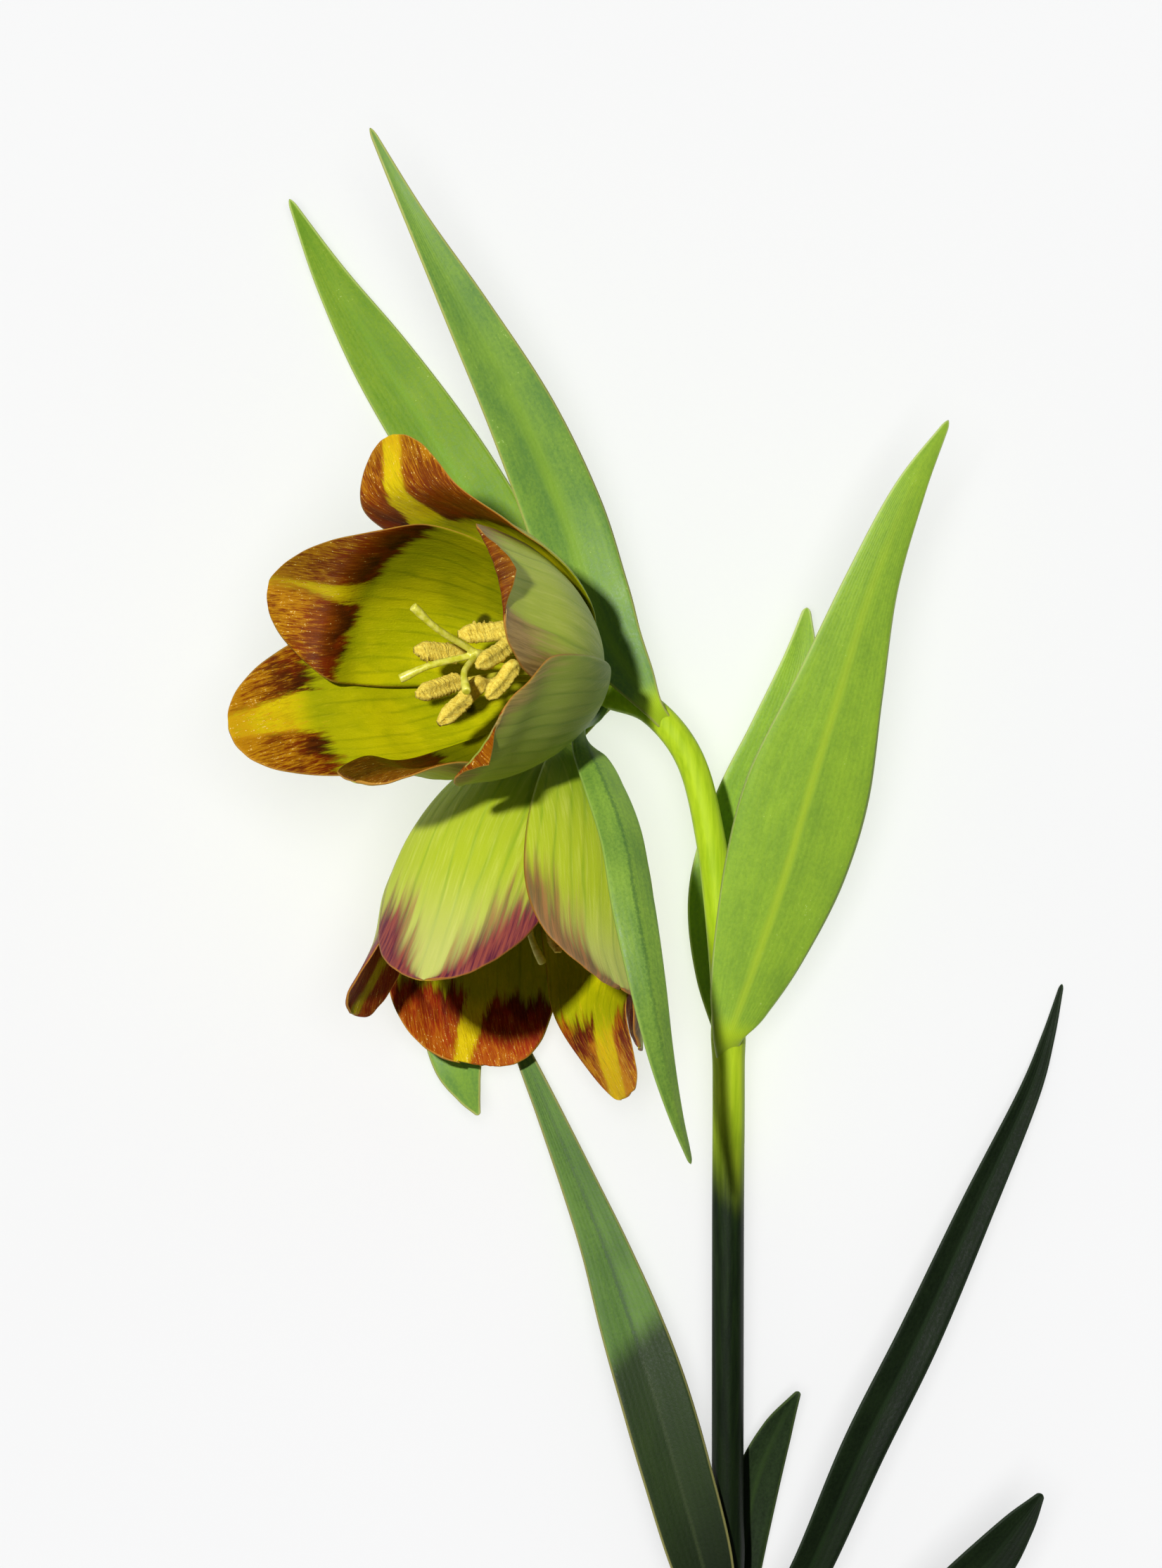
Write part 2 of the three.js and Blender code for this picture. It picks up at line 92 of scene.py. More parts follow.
# Each tepal's shape, as in the part's source, or up to 1.3 mm off it where that follows the photo better:
#   azimuth, sway   where it stands round the bell, in degrees, and how far it turns aside towards its tip
#   whorl, lean     outer 1, inner -1 or between, and how much further out its plus side lies, mm
#   roll, swell     how far its plus side rolls outwards past the middle, and how far it bulges, mm
#   end             where its tip goes, [radius, height]
#   wide, blunt     its half width and how fast it runs out to the tip, on its minus and its plus side
#   cup             how curved it is across its outer half, 1 as the bell
# Its colours, with pairs for the minus and the plus side and places along as shares of its length:
#   stain           where the inside's brown starts
#   stripe          the yellow stripe through the brown: its place across STRIPE_RUN before the tip, mm, its
#                   half width, mm, how far it narrows, and how golden the tip is
#    dusk            how dark the inside is, as painted shade
#   flush           how maroon the outside's margins are, and where that starts at both sides
#    spread, shade   how much further the plus side's flush reaches in, and how dark the outside is, as painted shade
TEPAL = dict(lean=0, roll=0, swell=0, stain=[0.62, 0.62], stripe=[0, 0.8, 0.5, 0.4], dusk=[0, 0],
             flush=[0.5, 0.5, 0.5], spread=0, shade=0)
NO_STRIPE = [0, -3, 0, 0.3]    # a negative half width leaves no yellow
BELLS = [
    dict(name="upper", seat=[-16.7, 101.9, 19.5], heading=172, rise=46, girth=0.95,
         fork=[[-12.9, 99.3, 9.6], [-15.2, 99.2, 10.4], [-16, 100, 13.4]],
         tepals=[
             dict(azimuth=-91, sway=-15, whorl=1, end=[[16.7, 27.3], [22.6, 28.4]], wide=[9.6, 8.5],
                  blunt=[1.05, 1.05], cup=0.4, stain=[0.68, 0.5], stripe=[-4.8, 1.8, 0.45, 0.7]),
             dict(azimuth=-29, sway=-1, whorl=-1, end=[[15.4, 25.6], [16.8, 29.4], [18.9, 28.4]],
                  wide=[10.2, 9.6], blunt=[1.4, 1.9], cup=1, stain=[0.6, 0.6], stripe=NO_STRIPE,
                  dusk=[0.4, 0.4], flush=[0.8, 0.3, 0.1], spread=0.22),
             dict(azimuth=31, sway=7, whorl=1, end=[[15.6, 24.5], [16.3, 27.9], [17.9, 26.7]],
                  wide=[9.6, 9.4], blunt=[2.0, 2.4], cup=1, stain=[0.6, 0.6], stripe=NO_STRIPE,
                  flush=[0.6, 0.45, 0.7], shade=0.5),
             dict(azimuth=93, sway=-11, whorl=-1, end=[[14.2, 27.4], [16.2, 34.6]], wide=[9.2, 6.5],
                  blunt=[0.9, 0.5], cup=0.6, roll=-0.9, stain=[0.55, 0.5], stripe=NO_STRIPE,
                  dusk=[0.2, 0.8]),
             dict(azimuth=153, sway=-6, whorl=1, end=[[17.2, 28], [21.2, 35]], wide=[9.6, 9.6],
                  blunt=[0.85, 0.95], cup=0.6, stain=[0.775, 0.775], stripe=[0.3, 2.1, 0.6, 1],
                  dusk=[0.12, 0.12]),
             dict(azimuth=-147, sway=-19, whorl=-1, end=[[14.8, 26.8], [21.6, 30.4]], wide=[11.2, 10.4],
                  blunt=[0.95, 1.5], cup=0.7, stain=[0.745, 0.64], stripe=[-0.5, 1, 0.95, 0.9],
                  dusk=[0.1, 0.6]),
         ]),
    dict(name="lower", seat=[-19.8, 93.1, 11.6], heading=-102.6, rise=18, girth=1,
         fork=[[-12.9, 99.3, 9.6], [-15.7, 99.3, 8.9], [-17.9, 98.3, 8.7]],
         tepals=[
             dict(azimuth=-87, sway=-5, whorl=-1, end=[[15, 27.6], [16.1, 35.3]], wide=[9.8, 9.5],
                  blunt=[0.9, 0.9], cup=1, roll=1.2, swell=0.1, stain=[0.5, 0.5], stripe=[-8, 1.5, 0.5, 0],
                  dusk=[0.3, 0.6], flush=[1, 0.5, 0.5]),
             dict(azimuth=-27, sway=1, whorl=0, lean=-0.9, end=[[16.4, 27.8], [18.6, 34.8]],
                  wide=[10.6, 10.6], blunt=[0.9, 1.2], cup=0.9, flush=[1, 0.7, 0.6]),
             dict(azimuth=33, sway=11, whorl=1, end=[[16, 25.8], [17.6, 29.7]], wide=[10.4, 10.4],
                  blunt=[0.75, 0.75], cup=0.9, flush=[0.8, 0.52, 0.72]),
             dict(azimuth=93, sway=3, whorl=0, lean=1.05, end=[[16, 27], [16.4, 31.6]], wide=[9, 9],
                  blunt=[0.9, 0.9], cup=1, flush=[0.8, 0.5, 0.5]),
             dict(azimuth=153, sway=-25, whorl=-1, end=[[15.1, 27.6], [20.8, 35.2]], wide=[10.3, 5.6],
                  blunt=[0.65, 0.9], cup=0.9, roll=1.1, stain=[0.82, 0.825], stripe=[-7, 1.7, 0.4, 0.8],
                  flush=[0.6, 0.5, 0.5]),
             dict(azimuth=-147, sway=-24, whorl=1, end=[[16.4, 27.6], [16, 33.6]], wide=[12.6, 10],
                  blunt=[0.75, 0.62], cup=0.7, stain=[0.75, 0.8], stripe=[-5, 1.1, 0.5, 0.25],
                  flush=[0.8, 0.5, 0.5]),
         ]),
]

# Each spine row is [x, y, z, half width]. facing is the way the upper side looks, at the base and at the tip.
# channel is how far the edges rise per mm of half width, and crease how gently the blade bends at its midrib.
UPWARD = [[0, 0, 1], [0, 0, 1]]
LEAVES = [
    dict(name="crown_leaf_tall", facing=[[0.1, 0, 1], [0.1, 0, 1]], channel=0.16, crease=0.4, tint="blue",
         spine=[
             [-8.6, 97.8, 11.9, 1.2], [-10.9, 101.3, 12.3, 2.5], [-14, 106.1, 11.9, 4],
             [-16, 111.3, 11.4, 4.5], [-18.9, 120, 12, 4.6], [-23.6, 130.9, 14.4, 4],
             [-29.7, 142.4, 17, 2.7], [-35.4, 152.8, 18.5, 1.3], [-40.5, 162.9, 18.5, 0.3]]),
    dict(name="crown_leaf_back", facing=UPWARD, channel=0.1, crease=0.6, tint="bright", spine=[
        [-10.4, 99.6, 7.1, 1], [-16.5, 104.6, 3.4, 2.7], [-23.4, 112.7, 1.4, 4], [-28.6, 121, 0.7, 4.5],
        [-33.8, 129.1, 0.3, 4.4], [-40, 138.5, 0.6, 3.6], [-45.6, 147.5, 1.6, 2], [-50.3, 156.4, 3.4, 0.3]]),
    dict(name="crown_leaf_drooping", facing=[[0.2, -0.4, 1], [0.6, 0, 1]], channel=-0.25, crease=0.12,
         tint="green", spine=[
             [-15.1, 97, 10.5, 1], [-16.5, 95.6, 16, 1.2], [-16.1, 93.3, 21.4, 1.7],
             [-14.2, 89.2, 26.5, 2.3], [-12.1, 83.3, 31, 2.6], [-10.8, 75.8, 34.6, 2.6],
             [-9.3, 67.3, 36, 2.2], [-7.9, 59.6, 34.5, 1.6], [-6.3, 52.8, 31.5, 0.9],
             [-4.6, 47.1, 27.5, 0.25]]),
    dict(name="crown_leaf_under", facing=UPWARD, channel=0, crease=1, tint="blue", spine=[
        [-13.6, 98.8, 7.2, 1], [-19.7, 94.5, 3.6, 2.4], [-26.5, 88, 1.2, 3.1], [-30.3, 79.9, 0.3, 3.2],
        [-31.8, 70.9, 0.2, 3.4], [-31.9, 62.8, 0.6, 3.4], [-31, 57.2, 1.8, 2.9], [-29.7, 53.6, 4, 1.5],
        [-28.5, 51.3, 6, 0.25]]),
    dict(name="whorl_leaf_front", facing=[[0.2, 0, 1], [0.25, 0, 1]], channel=-0.1, crease=0.5, tint="light",
         spine=[
             [0, 60.3, 9.9, 1.8], [1.3, 64.2, 10.8, 3.6], [3.5, 70.5, 12.2, 5.4], [6.4, 79.5, 14.4, 7],
             [9, 88.7, 16.3, 7.2], [12.3, 99.9, 18.5, 5.2], [15.8, 111.5, 20, 3.2], [20, 121.9, 20, 1.9],
             [24.5, 130.1, 18, 0.3]]),
    dict(name="whorl_leaf_back", facing=UPWARD, channel=0.12, crease=0.6, tint="light", spine=[
        [-0.3, 59.8, 4.6, 1.1], [0.2, 67, 3.4, 3.9], [1, 76.3, 2.6, 5.5], [3.4, 85.6, 2, 5.3],
        [6.3, 94.5, 1.6, 4], [8.3, 102.5, 1.6, 2.3], [9.2, 109.5, 2.4, 0.4]]),
    dict(name="lower_leaf_left", facing=UPWARD, channel=0.14, crease=0.15, tint="painted_shade_below", spine=[
        [-0.4, -9.9, 6, 1.4], [-2.8, -0.4, 7.1, 3.5], [-5.9, 10.7, 7.2, 4], [-8.6, 19.9, 6.6, 4],
        [-11.2, 27.7, 5.4, 3.6], [-14, 35.7, 4, 2.8], [-16.7, 42.4, 3, 2.2], [-20.5, 51.4, 2, 1.5],
        [-23.4, 58, 1.5, 1], [-25.7, 63.5, 1.4, 0.25]]),
    dict(name="lower_leaf_right", facing=[[0.3, 0, 1], [-0.2, 0, 1]], channel=0.2, crease=0.3, tint="dark",
         spine=[
             [1.4, -15.4, 5.4, 0.9], [4.6, -8.5, 7, 2.1], [9.3, -0.2, 8.4, 2.3], [15.3, 13.4, 8.6, 2.6],
             [21.8, 26.1, 7, 2.5], [28.7, 40.8, 4.4, 2], [34.6, 53.2, 2, 1.3], [37, 59.8, 0.7, 0.8],
             [38.7, 66.1, 0.35, 0.25]]),
    dict(name="lower_leaf_short", facing=UPWARD, channel=0.1, crease=0.5, tint="olive", spine=[
        [1.4, -9, 0.8, 1.1], [1.9, 0.2, 0.9, 2.4], [3.3, 8.3, 1.6, 2.7], [5.7, 14.8, 2.9, 1.8],
        [8.2, 19.5, 4.4, 0.3]]),
    dict(name="lowest_leaf", facing=UPWARD, channel=0.15, crease=0.5, tint="dark", spine=[
        [1, -29.6, 4.6, 1.1], [6.8, -22.2, 7, 2.4], [14.7, -13.9, 9.4, 3], [22.6, -6, 11.4, 3.1],
        [29, 0.5, 12.4, 2.9], [32.8, 5.3, 12.8, 1.8], [35.4, 8.8, 13, 0.4]]),
]

# Where a filament leaves the receptacle, and where its anther starts and ends. All the places in a bell are
# [azimuth, radius, height].
STAMENS = [
    [[-25, 1.8, 1], [-38, 3, 13.3], [25, 3.2, 19.4]],
    [[35, 1.8, 1], [14, 3.6, 13.9], [60, 5.4, 17]],
    [[90, 1.8, 1], [75, 3.2, 16], [88, 8.2, 21.4]],
    [[140, 1.8, 1], [130, 4.2, 16], [116, 6, 22.5]],
    [[190, 1.8, 1], [177, 4, 15.2], [174, 5, 21.5]],
    [[-100, 1.8, 1], [-105, 3.3, 10.5], [-151, 4, 16.6]],
]
SUNK_SHARE = 0.2               # of a stamen's bar, the stretch that starts inside the receptacle
STYLE_HEIGHT = 17.3
LOBE_TIPS = [[-115, 4.5, 25.7], [139, 6, 23.6], [47, 6, 21.6]]

VIEW_CENTRE = [-16.8, 89.2, 10]
CAMERA_HEIGHT = 679
FLOOR_REACH = 1500


# ---- Small helpers ---------------------------------------------------------------------------------

def smooth(low, high, x):
    s = np.clip((np.asarray(x, float) - low) / (high - low), 0, 1)
    return s * s * (3 - 2 * s)


def rows_at(rows, t):
    """Uniform Catmull-Rom interpolation through rows of numbers, with reflected end rows. t is 0 to 1."""
    rows = np.asarray(rows, float)
    rows = np.vstack([2 * rows[0] - rows[1], rows, 2 * rows[-1] - rows[-2]])
    spans = len(rows) - 3
    place = np.clip(t, 0, 1) * spans
    i = np.minimum(place.astype(int), spans - 1)
    f = (place - i)[..., None]
    a, b, c, d = (rows[i + k] for k in range(4))
    square, cube = 2 * a - 5 * b + 4 * c - d, 3 * b - a - 3 * c + d
    return 0.5 * (2 * b + (c - a) * f + square * f ** 2 + cube * f ** 3)


def tangents(path, t, step):
    """The way path runs at t, from the points a step before and after it."""
    return unit(rows_at(path, t + step)[:, :3] - rows_at(path, t - step)[:, :3])


def unit(vectors):
    return vectors / np.maximum(np.linalg.norm(vectors, axis=-1, keepdims=True), 1e-9)


def normals(grid, steady):
    """A sheet's unit normals. Past row steady it runs out to a point, and keeps that row's."""
    out = unit(np.cross(np.gradient(grid, axis=1), np.gradient(grid, axis=0)))
    out[steady + 1:] = out[steady]
    return out


def stacked(*values):
    """Grids and single numbers as one grid of vectors."""
    return np.stack(np.broadcast_arrays(*values), -1)


def ripple(seed, waves=5):
    """A gentle uneven wave over two coordinates, about -1 to 1, the same each time for a seed."""
    draw = np.random.default_rng(seed)
    pitch, phase = draw.uniform(0.5, 1.6, (waves, 2)), draw.uniform(0, 2 * math.pi, waves)

    def wave(x, y):
        return sum(np.sin(px * x + py * y + p) for (px, py), p in zip(pitch, phase)) / math.sqrt(waves)
    return wave


def shade_smooth(mesh):
    mesh.polygons.foreach_set("use_smooth", np.ones(len(mesh.polygons), bool))


def mesh_object(name, points, faces, materials, attributes=None, face_materials=None):
    """A smooth mesh from points in millimetres, with a vector attribute for each of attributes."""
    mesh = bpy.data.meshes.new(name)
    mesh.from_pydata(((points - BOX_CENTRE) * MM).tolist(), [], faces)
    for material in materials:
        mesh.materials.append(material)
    for key, values in (attributes or {}).items():
        layer = mesh.attributes.new(key, "FLOAT_VECTOR", "POINT")
        layer.data.foreach_set("vector", np.asarray(values, np.float32).ravel())
    if face_materials is not None:
        mesh.polygons.foreach_set("material_index", np.asarray(face_materials, np.int32))
    shade_smooth(mesh)
    mesh.update()
    thing = bpy.data.objects.new(name, mesh)
    bpy.context.scene.collection.objects.link(thing)
    return thing


def dress(thing, node):
    """The piece stands for a CAD node, which it hides, and hangs on the body."""
    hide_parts(node)
    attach(thing, BODY)
    return thing


# ---- Shader formulas -------------------------------------------------------------------------------

def paint(code):
    """A hex colour as a screen shows it, in Blender's linear numbers."""
    parts = [int(code[k:k + 2], 16) / 255 for k in (0, 2, 4)]
    return [x / 12.92 if x <= 0.04045 else ((x + 0.055) / 1.055) ** 2.4 for x in parts] + [1.0]


def connect(tree, value, slot):
    if isinstance(value, Wire):
        tree.links.new(value.socket, slot)
    else:
        slot.default_value = value


class Wire:
    """A shader value that formulas can be written with."""

    def __init__(self, socket):
        self.socket = socket
        self.tree = socket.id_data

    def math(self, operation, *others):
        node = self.tree.nodes.new("ShaderNodeMath")
        node.operation = operation
        for slot, value in zip(node.inputs, (self, *others)):
            connect(self.tree, value, slot)
        return Wire(node.outputs[0])

    def __add__(self, other):
        return self.math("ADD", other)

    def __sub__(self, other):
        return self.math("SUBTRACT", other)

    def __mul__(self, other):
        return self.math("MULTIPLY", other)

    def __pow__(self, other):
        return self.math("POWER", other)

    def __abs__(self):
        return self.math("ABSOLUTE")

    def crests(self, pitch, shift):
        """A wave from 0 to 1 with a crest every pitch, and shift moves it along."""
        return (self * (2 * math.pi / pitch) + shift).math("SINE") * 0.5 + 0.5

    def ramp(self, low, high, start=0.0, end=1.0):
        """start below low, end above high, and a smooth step between."""
        node = self.tree.nodes.new("ShaderNodeMapRange")
        node.interpolation_type = "SMOOTHSTEP"
        for slot, value in zip(node.inputs, (self, low, high, start, end)):
            connect(self.tree, value, slot)
        return Wire(node.outputs[0])


class Finish:
    """A material under construction."""

    # The mix node has sockets for every data type: these are a colour's factor, two colours and result.
    MIX_INPUTS = (0, 6, 7)
    MIX_RESULT = 2

    def __init__(self, name):
        self.material = bpy.data.materials.new(name)
        self.material.use_nodes = True
        self.tree = self.material.node_tree
        self.shader = self.tree.nodes["Principled BSDF"]

    def attribute(self, name):
        """The three numbers of a vector that the mesh carries."""
        node = self.tree.nodes.new("ShaderNodeAttribute")
        node.attribute_name = name
        return self.split(node.outputs["Vector"])

    def place(self):
        """The point in the part's frame, in millimetres."""
        node = self.tree.nodes.new("ShaderNodeTexCoord")
        return [axis * (1 / MM) for axis in self.split(node.outputs["Object"])]

    def split(self, socket):
        node = self.tree.nodes.new("ShaderNodeSeparateXYZ")
        self.tree.links.new(socket, node.inputs[0])
        return [Wire(out) for out in node.outputs]

    def noise(self, x, y, z, detail, rough=0.55):
        """Noise of mean 0.5 over three coordinates, one wave per unit."""
        vector = self.tree.nodes.new("ShaderNodeCombineXYZ")
        for slot, value in zip(vector.inputs, (x, y, z)):
            connect(self.tree, value, slot)
        node = self.tree.nodes.new("ShaderNodeTexNoise")
        node.inputs["Scale"].default_value = 1.0
        node.inputs["Detail"].default_value = detail
        node.inputs["Roughness"].default_value = rough
        self.tree.links.new(vector.outputs[0], node.inputs["Vector"])
        return Wire(node.outputs["Fac"])

    def mix(self, share, below, above, blend="MIX"):
        """Colour below where share is 0 and above where it is 1."""
        node = self.tree.nodes.new("ShaderNodeMix")
        node.data_type = "RGBA"
        node.blend_type = blend
        for k, value in zip(self.MIX_INPUTS, (share, below, above)):
            connect(self.tree, paint(value) if isinstance(value, str) else value, node.inputs[k])
        return Wire(node.outputs[self.MIX_RESULT])

    def done(self, colour, roughness, height=None, depth=0.0, **plain):
        """height is a relief in units of depth, in millimetres. plain sets sockets to one value all over."""
        connect(self.tree, colour, self.shader.inputs["Base Color"])
        connect(self.tree, roughness, self.shader.inputs["Roughness"])
        for key, value in plain.items():
            self.shader.inputs[key.replace("_", " ")].default_value = value
        if height is not None:
            bump = self.tree.nodes.new("ShaderNodeBump")
            bump.inputs["Strength"].default_value = 1.0
            bump.inputs["Distance"].default_value = depth * MM
            connect(self.tree, height, bump.inputs["Height"])
            self.tree.links.new(bump.outputs[0], self.shader.inputs["Normal"])
        return self.material


def glowing(weight, radius, scale):
    """The shader's settings for flesh that light sinks into, as far as scale, in millimetres."""
    return dict(Subsurface_Weight=weight, Subsurface_Radius=radius, Subsurface_Scale=scale * MM)


# ---- Materials -------------------------------------------------------------------------------------
# Every blade carries three vectors, and a tepal two more:
#   blade    mm across from the midrib, mm along, share across from -1 to 1
#   tone     share along, mm to the margin, seed
#   veins    mm across where it is widest; a tepal also how far past the start of the flush, and the flush
#   marks    how far past the start of the brown, mm beside the stripe, how golden
#    sheath   how dark the inside is (painted shade), how much further the flush reaches in, how dark the outside is (painted shade)

LEAF_TINTS = {
    # dark, light, rib and margin colours, half width of the rib in mm, shine
    "blue": ("567c36", "769834", "7d9f26", "a9a95a", 1.3, 0.25),
    "bright": ("5c821b", "789624", "709820", "b0c068", 0.9, 0.12),
    "green": ("587c2e", "7f9f36", "3a5c2c", "8faa4c", 0.35, 0.3),
    "light": ("74972f", "8eb02f", "a8bf2c", "b9c878", 0.8, 0.25),
    "painted_shade_below": ("46652a", "5f8036", "2f4629", "9a9458", 0.4, 0.12),
    # dark and olive are painted shade: the lowest leaves' green darkened nearly to black
    "dark": ("0d160a", "182411", "1f2f18", "2c3628", 0.5, 0.06),
    "olive": ("162210", "26361a", "2f431b", "42522a", 0.5, 0.1),
}


def leaf_material(tint):
    dark, light, rib, margin, rib_width, shine = LEAF_TINTS[tint]
    f = Finish("leaf_" + tint)
    across, along, _ = f.attribute("blade")
    s, edge, seed = f.attribute("tone")
    fan, _, _ = f.attribute("veins")
    streak = f.noise(fan * 1.1, along * 0.06, seed, 4.0, 0.6)
    patch = f.noise(across * 0.35, along * 0.15, seed + 7.0, 3.0)
    speck = f.noise(across * 3.5, along * 2.5, seed + 3.0, 3.0, 0.7)
    colour = f.mix((streak * 0.4 + patch * 0.6 + speck * 0.6 - 0.3).ramp(0.22, 0.78), dark, light)
    midrib = (abs(across) + (speck - 0.5) * 0.6).ramp(0.0, rib_width, 1.0, 0.0) * s.ramp(0.55, 0.95, 0.6, 0.1)
    colour = f.mix(midrib, colour, rib)
    if tint == "painted_shade_below":
        # Painted shade: green at its tip, and dark from a slanting line on down to its base, but for the
        # midrib.
        x, y, _ = f.place()
        height = y - x + streak * 1.6
        colour = f.mix(height.ramp(-38.0, -32.5, 0.86, 0.0), colour, "18220f")
        colour = f.mix(height.ramp(-80.0, -48.0, 0.95, 0.0), colour, "0d1508")
        colour = f.mix(midrib * height.ramp(-40.0, -36.0, 0.3, 0.0), colour, "5a6a3a")
    elif tint in ("blue", "bright", "light"):
        # Yellower at its base, with a bloom of pale specks.
        colour = f.mix(s.ramp(0.12, 0.2, 0.95, 0.0), colour, "a4bf20")
        colour = f.mix((speck * 0.7 + patch * 0.3).ramp(0.66, 0.7) * 0.6, colour, "c5d692")
    colour = f.mix(edge.ramp(0.08, 0.3, 0.8, 0.0), colour, margin)
    relief = fan.crests(LEAF_VEIN_PITCH, streak * 3.0) * 0.22 + speck * 0.7 - midrib * 0.4
    return f.done(colour, speck.ramp(0.3, 0.7, 0.42, 0.58), relief, 0.035, Specular_IOR_Level=shine,
                  **glowing(0.12, (0.5, 1.0, 0.2), 0.6))


STAIN_COLOURS = {
    # the stain's dark start, its body, its red clouds, its silky threads, and its tip
    "upper": ("2e1003", "743404", "842c04", "b0660c", "c08c0c"),
    "lower": ("4c1004", "932d0a", "a62c0e", "cc801a", "cc9a0e"),
}
# The dark nectar spot: mm to the minus side of the midrib, share along, and the mm that a whole share counts.
NECTARY_ASIDE = 1.0
NECTARY_SHARE = 0.305
NECTARY_STRETCH = 48.0


def tepal_inside(bell_name):
    """Olive to yellow with green lines, and a brown stain over the tip with silky threads and a stripe;
    painted glints, and painted shade deep in the bell and where dusk darkens it.
    """
    start, body, cloudy, silk, gilt = STAIN_COLOURS[bell_name]
    f = Finish("tepal_inside_" + bell_name)
    across, along, _ = f.attribute("blade")
    s, edge, seed = f.attribute("tone")
    fan, _, _ = f.attribute("veins")
    past, beyond, gold = f.attribute("marks")
    dusk, _, _ = f.attribute("sheath")
    fibre = f.noise(across * 5.2 + along * 0.5, along * 0.65, seed, 4.0, 0.65)
    strand = f.noise(across * 1.3, along * 0.12, seed + 9.0, 3.0)
    cloud = f.noise(across * 0.45, along * 0.25, seed + 5.0, 3.0)
    wide = f.noise(fan * 0.16, along * 0.08, seed + 1.0, 2.0)
    speck = f.noise(across * 6.0, along * 4.0, seed + 2.0, 2.0, 0.7)

    # Painted shade: darker olive towards the base, for the bell's depth, and yellow a third of the way out.
    ground = f.mix(s.ramp(0.0, 0.35), "5c6c03", "a9aa03")
    ground = f.mix((cloud * 0.4 + wide * 0.6).ramp(0.42, 0.62) * 0.6, ground, "d2c806")
    ground = f.mix(past.ramp(-0.16, 0.0) * past.ramp(0.0, 0.08, 0.5, 0.0), ground, "8f9206")
    ground = f.mix(past.ramp(0.0, 0.1), ground, "d6c107")
    ground = f.mix(past.ramp(0.0, 0.1) * fibre.ramp(0.35, 0.55, 0.6, 0.0), ground, "a5830a")
    lines = fan.crests(INNER_LINE_PITCH, wide * 9.0) ** 6.0
    lined = lines * strand.ramp(0.4, 0.65, 0.05, 0.4) * past.ramp(-0.1, 0.1, 1.0, 0.2)
    ground = f.mix(lined, ground, "5d7203")
    ground = f.mix(fibre.ramp(0.5, 0.75) * 0.35, ground, "d4c71c")
    tip = (s + (fibre - 0.5) * 0.6 + (cloud - 0.5) * 0.3).ramp(0.83, 1.0) * gold
    ground = f.mix(tip * 0.8, ground, gilt)

    front = past + (strand - 0.5) * 0.12 + (fibre - 0.5) * 0.07
    aside = beyond + (strand - 0.5) * 1.6 + (fibre - 0.5) * 2.0
    brown = front.ramp(-0.02, 0.03) * aside.ramp(-0.3, 0.4)
    stained = f.mix(front.ramp(0.0, 0.17), start, body)
    stained = f.mix(cloud.ramp(0.42, 0.62) * 0.5, stained, cloudy)
    threads = (fibre * 0.75 + strand * 0.35).ramp(0.5, 0.7) * past.ramp(0.03, 0.27, 0.06, 0.7)
    stained = f.mix(threads, stained, silk)
    stained = f.mix(tip * 0.7, stained, gilt)

    colour = f.mix(brown, ground, stained)
    # Painted glints: pale specks over the brown, more of them towards the tip.
    painted_glint = (speck * 0.6 + fibre * 0.5 + s * 0.1).ramp(0.76, 0.8) * past.ramp(0.02, 0.2, 0.05, 0.9)
    colour = f.mix(painted_glint, colour, "fbe08c")
    spot = abs(across + NECTARY_ASIDE) ** 2.0 + (abs(s - NECTARY_SHARE) * NECTARY_STRETCH) ** 2.0
    colour = f.mix(spot.ramp(0.2, 1.4, 0.85, 0.0), colour, "2c2406")
    # Painted shade: dusk darkens the inside.
    colour = f.mix(dusk, colour, "80865c", "MULTIPLY")
    colour = f.mix(edge.ramp(0.05, 0.25, 0.7, 0.0) * s.ramp(0.4, 0.6), colour, "b98a34")
    relief = fibre + speck * 0.6 + lines * 0.2
    return f.done(colour, brown.ramp(0.0, 1.0, 0.5, 0.44), relief, 0.07, Specular_IOR_Level=0.06,
                  **glowing(0.15, (1.0, 1.0, 0.2), 0.6))


OUTSIDE_COLOURS = {
    # the base, the body, its pale end, the flush between its fibres and on them
    "upper": ("64831c", "a9b83a", "b2b648", "7c4c3a", "ac8054"),
    "lower": ("7c9c1c", "a4b226", "c2c07a", "541a30", "8c4338"),
}


